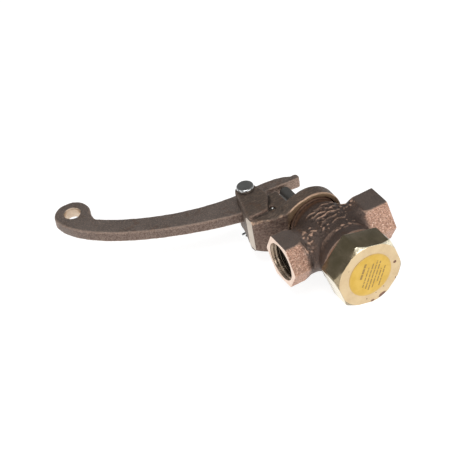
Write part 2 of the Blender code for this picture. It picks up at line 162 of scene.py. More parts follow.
def lumps(field, size, seed):
    """Smooth noise between about -1 and 1 whose lumps are about the given size in millimetres."""
    random = np.random.default_rng(seed)
    cells = [max(4, int(n * field.step / size) + 4) for n in field.shape]
    values = random.uniform(-1, 1, cells).astype(np.float32)
    for axis, count in enumerate(field.shape):
        at = np.arange(count) * field.step / size
        low = np.floor(at).astype(int)
        t = (at - low).astype(np.float32)
        t = t * t * (3 - 2 * t)
        shape = [1, 1, 1]
        shape[axis] = count
        t = t.reshape(shape)
        values = np.take(values, low, axis) * (1 - t) + np.take(values, low + 1, axis) * t
    return values


def softened(values, passes):
    for _ in range(passes):
        for axis in range(3):
            values = (np.roll(values, 1, axis) + np.roll(values, -1, axis) + 2 * values) / 4
    return values


def sampled(values, at):
    """Trilinear values of an array at fractional indices."""
    low = np.clip(np.floor(at).astype(int), 0, np.array(values.shape) - 2)
    t = at - low
    total = np.zeros(len(at), dtype=np.float32)
    for corner in range(8):
        step = np.array([(corner >> k) & 1 for k in range(3)])
        weight = np.prod(np.where(step, t, 1 - t), axis=1)
        i, j, k = (low + step).T
        total += weight * values[i, j, k]
    return total


def cast_piece(name, field, distance, material, roughness, seed, raised=None):
    """A mesh of the field's zero surface.

    Its attribute "edge" is high on worn edges and low in concave corners; "proud" marks what is raised.
    """
    distance = softened(field.full(distance), 1)
    if raised is not None:
        distance = union(distance, raised, 0.35)
    distance += roughness * lumps(field, 1.3, seed) + roughness * lumps(field, 4.0, seed + 1)
    grid = openvdb.FloatGrid(5.0)
    grid.copyFromArray(np.ascontiguousarray(distance, dtype=np.float32))
    grid.transform = openvdb.createLinearTransform(voxelSize=field.step)
    points, quads = grid.convertToQuads(isovalue=0.0)
    points = np.asarray(points, dtype=np.float32)
    smooth = softened(distance, 3)
    bend = np.zeros_like(distance)
    reach = 2
    for axis in range(3):
        bend += np.roll(smooth, reach, axis) + np.roll(smooth, -reach, axis) - 2 * smooth
    edge = 1.3 * sampled(bend, points / field.step) / (reach * field.step)
    mesh = bpy.data.meshes.new(name)
    mesh.from_pydata(((points + field.low) * MM).tolist(), [], np.asarray(quads).tolist())
    mesh.validate()
    mesh.attributes.new("edge", "FLOAT", "POINT").data.foreach_set("value", edge.astype(np.float32))
    if raised is not None:
        proud = np.clip(1.0 - sampled(field.full(raised), points / field.step) / 0.3, 0, 1)
        mesh.attributes.new("proud", "FLOAT", "POINT").data.foreach_set("value", proud.astype(np.float32))
    return finished(name, mesh, material)


def finished(name, mesh, material, angle=50.0):
    bm = bmesh.new()
    bm.from_mesh(mesh)
    bmesh.ops.recalc_face_normals(bm, faces=bm.faces)
    bm.to_mesh(mesh)
    bm.free()
    mesh.shade_smooth()
    if angle:
        mesh.set_sharp_from_angle(angle=math.radians(angle))
    obj = bpy.data.objects.new(name, mesh)
    bpy.context.scene.collection.objects.link(obj)
    for each in material if isinstance(material, (list, tuple)) else [material]:
        mesh.materials.append(each)
    return obj


# ---------------------------------------------------------------- turned and swept pieces

def place(first, second, along, axis):
    return {"X": (along, first, second), "Y": (first, along, second), "Z": (first, second, along)}[axis]


def turned(name, outline, axis, material, centre=(0.0, 0.0), steps=96, radius=None, zones=None, angle=40.0):
    """Revolve an outline of (radius, along) points that starts and ends on the axis or closes on itself.

    radius(number, point, angle) may give each column of points its own radius and height, and
    zones(number) the material of the band that starts at the numbered point.
    """
    bm = bmesh.new()
    closed = outline[0][0] > 1e-6
    rings = []
    for number, point in enumerate(outline):
        ring = []
        for i in range(steps):
            a = 2 * math.pi * i / steps
            r, along = radius(number, point, a) if radius else point
            first, second = centre[0] + r * math.cos(a), centre[1] + r * math.sin(a)
            if point[0] < 1e-6:
                ring = [bm.verts.new([c * MM for c in place(*centre, along, axis)])] * steps
                break
            ring.append(bm.verts.new([c * MM for c in place(first, second, along, axis)]))
        rings.append(ring)
    pairs = list(zip(rings, rings[1:])) + ([(rings[-1], rings[0])] if closed else [])
    for number, (ring, following) in enumerate(pairs):
        for i in range(steps):
            j = (i + 1) % steps
            unique = list(dict.fromkeys((ring[i], ring[j], following[j], following[i])))
            if len(unique) > 2:
                face = bm.faces.new(unique)
                face.material_index = zones(number) if zones else 0
    mesh = bpy.data.meshes.new(name)
    bm.to_mesh(mesh)
    bm.free()
    return finished(name, mesh, material, angle)


def wire(name, path, radius, material, sides=12):
    """A round wire along 3-D points in millimetres, with flat ends."""
    bm = bmesh.new()
    points = [Vector(p) for p in path]
    side = None
    rings = []
    for i, point in enumerate(points):
        run = (points[min(i + 1, len(points) - 1)] - points[max(i - 1, 0)]).normalized()
        guess = side or (Vector((0, 0, 1)) if abs(run.z) < 0.9 else Vector((1, 0, 0)))
        side = (guess - run * guess.dot(run)).normalized()
        up = run.cross(side)
        rings.append([bm.verts.new((point + (side * math.cos(a) + up * math.sin(a)) * radius) * MM)
                      for a in (2 * math.pi * k / sides for k in range(sides))])
    for ring, following in zip(rings, rings[1:]):
        for k in range(sides):
            j = (k + 1) % sides
            bm.faces.new((ring[k], ring[j], following[j], following[k]))
    bm.faces.new(rings[0])
    bm.faces.new(rings[-1])
    mesh = bpy.data.meshes.new(name)
    bm.to_mesh(mesh)
    bm.free()
    return finished(name, mesh, material)


def carve(target, tool):
    """Cut the tool's shape out of the target's mesh and take the tool away."""
    modifier = target.modifiers.new("cut", "BOOLEAN")
    modifier.operation = "DIFFERENCE"
    modifier.solver = "EXACT"
    modifier.material_mode = "TRANSFER"
    modifier.object = tool
    bpy.context.view_layer.update()
    mesh = bpy.data.meshes.new_from_object(target.evaluated_get(bpy.context.evaluated_depsgraph_get()))
    target.modifiers.clear()
    target.data = mesh
    mesh.name = target.name
    bpy.data.objects.remove(tool, do_unlink=True)


def trimmed(obj, at, normal, index):
    """Cut the object by a plane and close it with a flat face of the numbered material."""
    bm = bmesh.new()
    bm.from_mesh(obj.data)
    every = bm.verts[:] + bm.edges[:] + bm.faces[:]
    result = bmesh.ops.bisect_plane(bm, geom=every, plane_co=[c * MM for c in at], plane_no=normal,
                                    clear_outer=True, dist=1e-7)
    rim = [e for e in result["geom_cut"] if isinstance(e, bmesh.types.BMEdge)]
    for face in bmesh.ops.contextual_create(bm, geom=rim)["faces"]:
        face.material_index = index
        for edge in face.edges:
            edge.smooth = False
    bm.to_mesh(obj.data)
    bm.free()


# ---------------------------------------------------------------- materials

class Nodes:
    """Short calls to build one material's nodes."""

    def __init__(self, name):
        self.material = bpy.data.materials.new(name)
        self.material.use_nodes = True
        self.tree = self.material.node_tree
        self.shader = self.tree.nodes["Principled BSDF"]
        self.coords = self.tree.nodes.new("ShaderNodeTexCoord")

    def put(self, kind, sockets=(), **properties):
        node = self.tree.nodes.new("ShaderNode" + kind)
        for key, value in properties.items():
            setattr(node, key, value)
        for key, value in dict(sockets).items():
            self.feed(node.inputs[key], value)
        return node

    def feed(self, socket, value):
        if isinstance(value, bpy.types.NodeSocket):
            self.tree.links.new(value, socket)
        elif isinstance(value, (tuple, list)) and socket.type == "RGBA":
            socket.default_value = (*value, 1.0) if len(value) == 3 else value
        else:
            socket.default_value = value

    def math(self, operation, a, b=0.0, clamp=False):
        return self.put("Math", {0: a, 1: b}, operation=operation, use_clamp=clamp).outputs[0]

    def ramp(self, value, low, high, to_low=0.0, to_high=1.0, smooth=True):
        kind = "SMOOTHSTEP" if smooth else "LINEAR"
        return self.put("MapRange", {"Value": value, "From Min": low, "From Max": high, "To Min": to_low,
                                     "To Max": to_high}, interpolation_type=kind).outputs["Result"]

    def times(self, a, b):
        return self.math("MULTIPLY", a, b)

    def attribute(self, name):
        return self.put("Attribute", attribute_name=name).outputs["Fac"]

    def mix(self, amount, a, b):
        node = self.put("Mix", data_type="RGBA")
        self.feed(node.inputs["Factor"], amount)
        self.feed(node.inputs["A"], a)
        self.feed(node.inputs["B"], b)
        return node.outputs["Result"]

    def noise(self, scale, detail=4.0, roughness=0.55, stretch=None):
        """Noise in object space; scale is in lumps per millimetre."""
        vector = self.coords.outputs["Object"]
        if stretch:
            vector = self.put("Mapping", {"Vector": vector, "Scale": stretch}).outputs[0]
        return self.put("TexNoise", {"Vector": vector, "Scale": scale / MM, "Detail": detail,
                                     "Roughness": roughness}).outputs["Fac"]

    def cells(self, scale):
        return self.put("TexVoronoi", {"Vector": self.coords.outputs["Object"], "Scale": scale / MM})

    def axis(self, name, output="Object"):
        return self.put("SeparateXYZ", {0: self.coords.outputs[output]}).outputs[name]

    def bump(self, height, strength, depth_mm, normal=None):
        node = self.put("Bump", {"Height": height, "Strength": strength, "Distance": depth_mm * MM})
        if normal:
            self.feed(node.inputs["Normal"], normal)
        return node.outputs[0]

    def finish(self, **sockets):
        for key, value in sockets.items():
            self.feed(self.shader.inputs[key.replace("_", " ")], value)
        return self.material


def tint(colour, *factors):
    """A colour multiplied by one factor or by one for each channel."""
    return tuple(min(c * f, 1.0) for c, f in zip(colour, factors if len(factors) == 3 else factors * 3))


def port_tarnish_and_waist_shade(n, tarnish, dark, patches):
    """Dusty port hexagons, a waist darkened with painted shade and an orange collar under the yoke."""
    out = n.math("ABSOLUTE", n.axis("X"))
    tarnish = n.mix(n.ramp(out, 17 * MM, 20 * MM, 0.0, 0.42), tarnish, (0.225, 0.190, 0.170))
    # Painted shade: the waist between the ports darker.
    tarnish = n.mix(n.ramp(out, 17 * MM, 11 * MM, 0.0, 0.35), tarnish, tint(dark, 0.45))
    collar = n.times(n.ramp(n.axis("Y"), 11.5 * MM, 14.0 * MM), n.ramp(patches, 0.3, 0.55, 0.1, 0.45))
    return n.mix(collar, tarnish, (0.27, 0.135, 0.07))


def streaks_with_front_light(n, amount, colour, copper, tarnish, front):
    """Streaks along X, as strong as the amount, with painted light making them lighter where the surface
    faces the front.
    """
    drawn = n.noise(1.5, 3.0, 0.6, stretch=(0.10, 1.0, 1.0))
    lit = n.times(n.ramp(drawn, 0.5, 0.62), amount)
    # Painted light: copper streaks stronger where the surface faces the front.
    colour = n.mix(n.times(lit, n.ramp(front, -0.2, 0.6, 0.25, 1.0)), colour, copper)
    return n.mix(n.times(n.ramp(drawn, 0.48, 0.36), amount), colour, tarnish)


def painted_rim_highlight(n, colour, edge, grains):
    """A painted highlight along the yoke's front top edge, which sweeps back toward the arm's end."""
    sweep = n.math("MAXIMUM", 0.0, n.times(n.math("ADD", n.axis("X"), -SWEEP_START * MM), -0.46))
    behind = n.math("SUBTRACT", n.axis("Y"), n.math("ADD", sweep, RING_FRONT * MM))
    rim = n.times(n.ramp(behind, 1.7 * MM, 1.0 * MM), n.ramp(n.axis("Z"), 2 * MM, 6 * MM))
    rim = n.times(rim, n.ramp(n.math("ADD", edge, n.times(grains, 0.5)), 0.68, 1.0))
    # Painted highlight: light copper along the front top edge.
    return n.mix(n.times(rim, 0.75), colour, (0.80, 0.54, 0.37))


def cast_bronze(name, dark, bright, facing, sparkle=1.0, streaks=0.0, ground=None, wear=0.45,
                ports=False, tail=False):
    """Sand-cast bronze: brown tarnish, worn copper on edges, and painted light in copper on surfaces that
    face the front (-Y).

    facing holds two values of the facing, 0 sideways and 1 square on, between which the painted light comes
    in.
    sparkle, streaks and wear say how strong the painted glints, the streaks along X and the worn edges are.
    ground is (colour, low, high): the machined front face, full up to low on Y in mm and gone at high.
    ports keeps the painted front light to the two port hexagons; tail paints light on the front of the
    lever's short end.
    """
    n = Nodes(name)
    patches = n.noise(0.09, 5.0, 0.6)
    grains = n.noise(1.25, 4.0, 0.75, (0.3, 1.0, 1.0) if streaks else None)
    sand = n.cells(1.5).outputs["Distance"]
    edge = n.attribute("edge")
    worn = n.ramp(n.math("ADD", edge, n.times(grains, 0.5)), 0.62, 1.05)
    # Painted shade and grime: darker in concave corners.
    grime_and_corner_shade = n.ramp(edge, -0.1, -0.55)
    front = n.times(n.axis("Y", "Normal"), -1.0)
    # Painted light: copper where the surface faces the front (-Y), in patches.
    side = n.ramp(front, *facing)
    side = n.times(side, n.ramp(patches, 0.25, 0.55, 0.7, 1.0))
    # The painted front light stays on the two port hexagons.
    if ports:
        ragged = n.times(grains, 2.5 * MM)
        left = n.ramp(n.math("SUBTRACT", ragged, n.axis("X")), 20.5 * MM, 24.5 * MM)
        right = n.ramp(n.math("ADD", ragged, n.axis("X")), 16.5 * MM, 20.0 * MM)
        side = n.times(side, n.math("ADD", 0.05, n.math("ADD", left, right), clamp=True))
    tarnish = n.mix(n.ramp(patches, 0.35, 0.68), tint(dark, 0.8), dark)
    tarnish = n.mix(n.ramp(grains, 0.45, 0.72), tarnish, tint(dark, 1.9, 1.75, 1.6))
    rust = n.ramp(n.noise(0.22, 4.0, 0.6), 0.52, 0.72, 0.0, 0.45)
    tarnish = n.mix(rust, tarnish, (0.15, 0.075, 0.04))
    copper = n.mix(n.ramp(grains, 0.40, 0.60), tint(bright, 0.46, 0.40, 0.38), bright)
    if ports:
        tarnish = port_tarnish_and_waist_shade(n, tarnish, dark, patches)
    # The painted front light lays copper over the tarnish.
    colour = n.mix(side, tarnish, copper)
    if streaks:
        colour = streaks_with_front_light(n, streaks, colour, copper, tarnish, front)
        colour = painted_rim_highlight(n, colour, edge, grains)
    # Painted light: the front face of the lever's short end lighter and speckled.
    if tail:
        short = n.times(n.ramp(n.axis("X"), -8 * MM, 2 * MM), n.ramp(front, 0.2, 0.7, 0.0, 0.75))
        lit_tail_speckle = n.mix(n.ramp(grains, 0.4, 0.6), (0.40, 0.29, 0.23), (0.68, 0.50, 0.40))
        colour = n.mix(short, colour, lit_tail_speckle)
    colour = n.mix(n.times(worn, wear), colour, n.mix(0.35, copper, (0.85, 0.62, 0.48)))
    # Concave corners darkened with painted shade and grime.
    colour = n.mix(n.times(grime_and_corner_shade, 0.75), colour, tint(dark, 0.25))
    proud = n.attribute("proud")
    crest = n.ramp(n.math("ADD", edge, n.times(grains, 0.6)), 0.42, 1.15)
    rubbed = n.times(n.ramp(proud, 0.25, 0.9), n.times(crest, 0.66))
    colour = n.mix(rubbed, colour, n.mix(0.4, copper, (0.84, 0.58, 0.42)))
    # Painted glints: bright flecks on surfaces that face the front.
    painted_glints = n.times(n.ramp(n.noise(1.15, 3.0, 0.7), 0.55, 0.66), n.times(side, sparkle))
    colour = n.mix(n.times(painted_glints, 0.85), colour, (0.98, 0.74, 0.60))
    rough = n.ramp(grains, 0.2, 0.8, 0.42, 0.68)
    rough = n.math("SUBTRACT", rough, n.times(painted_glints, 0.15))
    normal = n.bump(sand, 0.6, 0.16)
    normal = n.bump(grains, 0.9, 0.24, normal)
    normal = n.bump(n.noise(0.55, 4.0, 0.6), 0.5, 0.3, normal)
    if ground:
        shade, low, high = ground
        zone = n.times(n.ramp(front, 0.75, 0.93), n.ramp(n.axis("Y"), high * MM, low * MM))
        colour = n.mix(n.times(zone, n.ramp(grains, 0.2, 0.5, 0.6, 0.95)), colour, shade)
    return n.finish(Base_Color=colour, Roughness=rough, Metallic=0.72, Normal=normal)


def turned_metal(name, colour, axis, metallic=1.0, rough=(0.28, 0.45), pitch=0.35, stain=0.25, centre=None,
                 shade_within=None):
    """Machined metal with fine rings round the given axis, stains and small scratches.

    shade_within is a pair of distances along X in mm: painted shade in full up to the first, none past the
    second.
    """
    n = Nodes(name)
    vector = n.coords.outputs["Object"]
    if centre:
        vector = n.put("Mapping", {"Vector": vector, "Location": [-c * MM for c in centre]}).outputs[0]
    parts = n.put("SeparateXYZ", {0: vector})
    across = [parts.outputs[a] for a in "XYZ" if a != axis]
    squares = [n.times(a, a) for a in across]
    radius = n.math("SQRT", n.math("ADD", *squares))
    wave = n.math("SINE", n.times(radius, 2 * math.pi / (pitch * MM)))
    blotch = n.noise(0.16, 5.0, 0.6)
    fine = n.noise(1.6, 3.0, 0.7)
    shade = n.mix(n.times(n.ramp(blotch, 0.35, 0.7), stain), colour, tint(colour, 0.62, 0.50, 0.42))
    shade = n.mix(n.ramp(fine, 0.35, 0.75, 0.0, 0.35), shade, tint(colour, 1.25))
    # Painted shade: darker deeper inside the bore.
    if shade_within:
        deep = n.ramp(n.math("ABSOLUTE", n.axis("X")), shade_within[1] * MM, shade_within[0] * MM)
        shade = n.mix(deep, shade, tint(colour, 0.38))
    roughness = n.ramp(fine, 0.3, 0.7, *rough)
    normal = n.bump(n.math("ADD", wave, n.times(fine, 2.5)), 0.35, 0.02)
    return n.finish(Base_Color=shade, Roughness=roughness, Metallic=metallic, Normal=normal)


def mill_brass(name):
    """Bar stock with the olive-brown skin it gets in store, and a painted reflection of the floor on faces
    that point down.
    """
    n = Nodes(name)
    blotch = n.noise(0.13, 6.0, 0.62)
    fine = n.noise(1.4, 4.0, 0.7)
    drawn = n.noise(0.9, 3.0, 0.6, stretch=(1.0, 0.08, 1.0))
    colour = n.mix(n.ramp(blotch, 0.35, 0.68), (0.19, 0.157, 0.095), (0.275, 0.225, 0.15))
    colour = n.mix(n.ramp(fine, 0.62, 0.8), colour, (0.34, 0.29, 0.20))
    colour = n.mix(n.ramp(drawn, 0.5, 0.8, 0.0, 0.4), colour, (0.07, 0.055, 0.03))
    normal = n.bump(fine, 0.2, 0.02)
    normal = n.bump(drawn, 0.2, 0.02, normal)
    # Painted reflection: faces that point down turn pale cream, as if mirroring the white floor.
    under = n.ramp(n.times(n.axis("Z", "Normal"), -1.0), 0.10, 0.25)
    colour = n.mix(under, colour, (0.86, 0.78, 0.60))
    return n.finish(Base_Color=colour, Roughness=n.ramp(fine, 0.3, 0.7, 0.12, 0.24), Metallic=0.85,
                    Normal=normal)


def chamfer_brass(name):
    """The turned-down corners: brown, with a painted cream highlight near the top."""
    n = Nodes(name)
    fine = n.noise(0.8, 4.0, 0.6)
    # Painted highlight: cream on the chamfer near the top.
    top_highlight = n.times(n.ramp(n.axis("X"), -7.5 * MM, -4.5 * MM), n.ramp(n.axis("Z"), 8 * MM, 14 * MM))
    colour = n.mix(n.ramp(fine, 0.35, 0.65), (0.27, 0.21, 0.125), (0.40, 0.32, 0.20))
    colour = n.mix(top_highlight, colour, (1.0, 0.93, 0.72))
    return n.finish(Base_Color=colour, Roughness=n.ramp(fine, 0.3, 0.7, 0.2, 0.4), Metallic=0.6,
                    Normal=n.bump(fine, 0.3, 0.03))


def plain_metal(name, colour, rough, metallic=1.0, bump=0.03):
    n = Nodes(name)
    blotch = n.noise(0.25, 5.0, 0.6)
    fine = n.noise(2.0, 3.0, 0.7)
    shade = n.mix(n.ramp(blotch, 0.3, 0.7, 0.0, 0.4), colour, tint(colour, 0.55))
    shade = n.mix(n.ramp(fine, 0.55, 0.8, 0.0, 0.5), shade, tint(colour, 1.5))
    return n.finish(Base_Color=shade, Roughness=n.ramp(fine, 0.3, 0.7, *rough), Metallic=metallic,
                    Normal=n.bump(fine, 0.5, bump))


def matt(name, colour, rough=(0.6, 0.85), bump=0.05):
    n = Nodes(name)
    fine = n.noise(1.5, 5.0, 0.65)
    shade = n.mix(n.ramp(fine, 0.3, 0.7), tint(colour, 0.75), tint(colour, 1.2))
    return n.finish(Base_Color=shade, Roughness=n.ramp(fine, 0.3, 0.7, *rough),
                    Normal=n.bump(fine, 0.6, bump))


def label_paper(name):
    n = Nodes(name)
    blotch = n.noise(0.22, 4.0, 0.6)
    fine = n.noise(1.2, 4.0, 0.7)
    colour = n.mix(n.ramp(blotch, 0.35, 0.65), (0.66, 0.405, 0.045), (0.73, 0.47, 0.075))
    colour = n.mix(n.ramp(fine, 0.5, 0.75, 0.0, 0.5), colour, (0.72, 0.45, 0.06))
    parts = n.put("SeparateXYZ", {0: n.coords.outputs["Object"]})
    square = n.math("ADD", *[n.times(parts.outputs[a], parts.outputs[a]) for a in "XZ"])
    rim = n.ramp(n.math("SQRT", square), 11.3 * MM, 12.5 * MM)
    colour = n.mix(n.times(rim, 0.45), colour, (0.62, 0.40, 0.12))
    return n.finish(Base_Color=colour, Roughness=n.ramp(fine, 0.3, 0.7, 0.38, 0.55),
                    Normal=n.bump(fine, 0.3, 0.03))


# ---------------------------------------------------------------- the body

def valve_body(bronze, machined):
    f = Field((-33.0, -23.0, -19.0), (33.0, 22.0, 19.0))
    about_y = np.hypot(f.x, f.z)
    about_x = np.hypot(f.y, f.z)
    side = [(16.9, -21.2), (16.8, -18.5), (16.3, -16.0), (15.7, -13.5), (15.3, -10.5), (15.2, 8.0),
            (14.9, 11.0), (14.3, 12.8), (13.5, 13.9), (13.2, 16.6), (14.1, 17.4), (14.1, 20.2)]
    waist = polygon(side + [(-r, y) for r, y in reversed(side)], about_y, f.y) - 0.1
    round_edge = 0.7
    hexes = polygon(hexagon(PORT_FLATS - 2 * round_edge), f.y, f.z) - round_edge
    hex_start = np.where(f.x < 0, INLET_HEX_START, OUTLET_HEX_START)
    turned_down = about_x - PORT_NECK - 0.62 * np.maximum(np.abs(f.x) - hex_start + 1.5, 0)
    hexes = both(hexes, turned_down * 0.86, 0.5)
    hexes = np.maximum(hexes, np.abs(f.x) - PORT_END - 1.5)
    shape = union(waist, hexes, 3.6)
    shape = np.maximum(shape, slab(f.y, -21.2, 20.2))
    shape = without(shape, both(about_y - 14.3, f.y + 11.5))
    shape = without(shape, both(about_y - 10.6, slab(f.y, -12.5, -4.2)))
    shape = without(shape, both(about_y - 8.3, slab(f.y, -5.2, 1.0)))
    shape = without(shape, both(about_y - 7.4, slab(f.y, 0.0, 9.0)))
    shape = without(shape, both(about_y - 3.6, slab(f.y, 8.0, 14.0)))
    shape = without(shape, both(about_y - 6.4, 12.5 - f.y))
    for way, shift in ((-1, -8.5), (1, 6.2)):
        t = (way * f.x - 16.8) / (5.0 - 16.8)
        slanted = np.hypot(f.y - shift * t, f.z) - 5.2
        shape = without(shape, both(slanted, slab(way * f.x, 5.0, 17.5)), 0.6)
        relief = slab(way * f.x, PORT_END - BORE_DEPTH, PORT_END - 12.0)
        shape = without(shape, both(about_x - 9.6, relief))
    marks = beaded(f, shape, waist_marks(f))
    body = cast_piece("body_casting", f, shape, [bronze, machined], 0.07, 3, raised=marks)
    wide = MOUTH_RADIUS - 0.1
    for way in (-1, 1):
        trimmed(body, (way * PORT_END, 0, 0), (way, 0, 0), 1)
        bore = turned("bore", [(0, way * (PORT_END - 13.0)), (wide, way * (PORT_END - 13.0)),
                               (wide, way * (PORT_END + 2)), (0, way * (PORT_END + 2))], "X", machined)
        carve(body, bore)
    body.data.set_sharp_from_angle(angle=math.radians(50))
    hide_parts("valve_body")
    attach(body, "valve")


def beaded(f, shape, marks):
    """The marks, joined by patches of small beads that stand on the shape."""
    beads = shape + 0.25 - 0.75 * np.clip(lumps(f, 0.9, 31) / 0.5, 0, 1)
    patches = ((-13.8, -3.0, 11.5, 4.2), (-16.8, -5.5, 11.0, 3.2), (-18.0, -8.5, 8.0, 3.0),
               (11.5, 3.0, 12.0, 3.5), (15.5, 4.0, 11.5, 2.8), (-2.6, 3.5, 15.0, 5.5),
               (5.2, -2.0, 14.3, 4.5), (-7.5, -5.0, 13.2, 5.0), (6.5, 6.5, 13.7, 4.0))
    for x, y, z, reach in patches:
        near = np.sqrt((f.x - x) ** 2 + (f.y - y) ** 2 + (f.z - z) ** 2) - reach
        marks = union(marks, np.maximum(beads, near), 0.2)
    return marks


def waist_marks(f):
    """Plain raised ribs and bumps cast on the waist, round the stem axis."""
    rho = np.hypot(f.x, f.z)
    angle = np.degrees(np.arctan2(f.z, f.x))
    marks = None
    ribs = [(50, 116, 1.3, 0.0, 0.85), (51, 77, 5.2, 0.05, 0.8), (96, 128, 4.3, -0.05, 0.8),
            (48, 96, -5.4, 0.03, 0.6), (58, 104, 8.6, 0.03, 0.55), (84, 126, 7.0, -0.03, 0.6),
            (66, 112, -2.2, 0.03, 0.6)]
    for start, end, at, slope, thick in ribs:
        middle = (start + end) / 2
        y = at - slope * (angle - middle) + 0.4 * np.sin(np.radians(angle * 13 + at * 50))
        beyond = np.maximum(0, np.abs(angle - middle) - (end - start) / 2) * 0.27
        rib = np.sqrt((rho - 15.2) ** 2 + (f.y - y) ** 2 + beyond ** 2) - thick
        marks = rib if marks is None else union(marks, rib, 0.2)
    random = np.random.default_rng(12)
    groups = [(100, 142, -7.2, -1.8, 30), (70, 106, -14.8, -11.4, 14), (72, 94, 3.0, 8.0, 12),
              (128, 155, -4.5, 3.0, 16), (52, 70, -9.5, -5.5, 10), (104, 124, 1.0, 3.6, 8)]
    for start, end, low, high, count in groups:
        for _ in range(count):
            a = math.radians(random.uniform(start, end))
            y = random.uniform(low, high)
            size = random.uniform(0.5, 0.8)
            long = random.uniform(0.8, 1.9)
            base = 15.15 if y > -10 else 15.55
            at = Vector((base * math.cos(a), y, base * math.sin(a)))
            along = (f.x - at.x) * -math.sin(a) + (f.z - at.z) * math.cos(a)
            outward = (f.x - at.x) * math.cos(a) + (f.z - at.z) * math.sin(a)
            bump = np.sqrt((along / long) ** 2 + (f.y - y) ** 2 + outward ** 2) - size
            marks = union(marks, bump, 0.15)
    return marks


def port_thread(name, way, brass):
    """The port's tapered female thread with its countersunk mouth."""
    count = 150
    depth = BORE_DEPTH - 1.0
    outline = [(11.9, way * (PORT_END - depth)), (11.9, way * (PORT_END - 0.02)),
               (MOUTH_RADIUS + 0.02, way * (PORT_END - 0.02))]
    outline += [(THREAD_RADIUS, way * (PORT_END - 0.3 - (depth - 0.3) * i / count))
                for i in range(count + 1)]

    def radius(number, point, angle):
        if number < 3:
            return point
        deep = abs(PORT_END - abs(point[1]))
        turn = (deep / THREAD_PITCH + way * angle / (2 * math.pi)) % 1.0
        crest = min(1.0, max(0.0, 1.35 - abs(turn - 0.5) * 3.6))
        r = THREAD_RADIUS - 0.03125 * deep - THREAD_HEIGHT * crest
        mouth = MOUTH_RADIUS + 0.1 - 0.55 * deep
        return max(r, mouth), point[1]

    sleeve = turned(name, outline, "X", brass, steps=120, radius=radius, angle=60.0)
    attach(sleeve, "valve")


# ---------------------------------------------------------------- the cap

def hex_radius(angle, flats, turn, rounding):
    """Distance from the centre to a hexagon's side at an angle, with slightly rounded corners."""
    a = (angle - turn) % (math.pi / 3) - math.pi / 6
    straight = flats / 2 / math.cos(a)
    corner = flats / math.sqrt(3.0)
    return min(straight, corner - rounding + (corner - straight) * 0.35)


def cap(face_brass, side_brass, chamfer, pit_dark):
    """The hexagonal cap. Outline points 3 to 12 get their place from radius(), to follow the hexagon."""
    edge = 0.22
    outline = [(0, CAP_FACE), (5, CAP_FACE), (10, CAP_FACE), (14, CAP_FACE), (17, CAP_FACE),
               (CAP_RIM - edge, CAP_FACE), (CAP_RIM, CAP_FACE + edge * 0.4), (19.3, 0), (20.0, 1),
               (20.5, -30.0), (20.5, CAP_BACK - 0.5), (20.3, CAP_BACK - 0.12), (20.0, CAP_BACK),
               (16.5, CAP_BACK), (14.0, CAP_BACK), (14.0, -12.4), (13.5, -11.9), (10.2, -11.9),
               (10.2, -32.6), (0, -32.6)]

    def radius(number, point, angle):
        reach = hex_radius(angle, CAP_FLATS, CAP_TURN, 0.35)
        rim = min(CAP_RIM, reach - 0.05)
        slope = 0.95
        if number in (3, 4):
            return min(point[0], rim - edge - (0.1 if number == 4 else 0.6)), point[1]
        if number == 5:
            return rim - edge, CAP_FACE
        if number == 6:
            return rim, CAP_FACE + edge * 0.45
        if number == 7:
            r = max(rim + 0.01, reach - 0.16)
            return r, CAP_FACE + edge * 0.45 + (r - rim) * slope
        if number == 8:
            return reach, CAP_FACE + edge * 0.45 + max(0.0, reach - rim) * slope + 0.25
        if number in (9, 10):
            return reach, point[1]
        if number == 11:
            return reach - 0.15, point[1]
        if number == 12:
            return reach - 0.5, point[1]
        return point

    def zone(number):
        if number in (6, 7):
            return 2
        return 1 if 8 <= number <= 13 else 0

    piece = turned("cap_body", outline, "Y", [face_brass, side_brass, chamfer, pit_dark], steps=240,
                   radius=radius, zones=zone, angle=28.0)
    pits = [(14.9, 0.7, 0.95, 0.85, 10), (14.7, -9.8, 0.7, 0.6, 30), (5.6, -16.3, 2.3, 1.0, 18),
            (-0.3, -17.3, 1.1, 0.6, 5), (6.9, -11.6, 0.35, 0.3, 0), (2.2, -13.4, 0.3, 0.3, 0),
            (-3.5, -14.5, 0.35, 0.3, 0), (-11.8, 8.6, 0.3, 0.25, 0)]
    for x, z, long, short, degrees in pits:
        bm = bmesh.new()
        bmesh.ops.create_icosphere(bm, subdivisions=4, radius=1.0)
        turn = Matrix.Rotation(math.radians(-degrees), 4, "Y")
        for vert in bm.verts:
            wobble = 1.0 + 0.09 * math.sin(2.6 * vert.co.x + 3.3 * vert.co.z + x)
            u, v, w = vert.co
            vert.co = turn @ Vector((u * long * wobble, v * 0.8 * short, w * short * wobble))
            vert.co = (vert.co + Vector((x, CAP_FACE + 0.05, z))) * MM
        mesh = bpy.data.meshes.new("pit")
        bm.to_mesh(mesh)
        bm.free()
        carve(piece, finished("pit", mesh, pit_dark))
    piece.data.set_sharp_from_angle(angle=math.radians(28))
    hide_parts("cap")
    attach(piece, "valve")


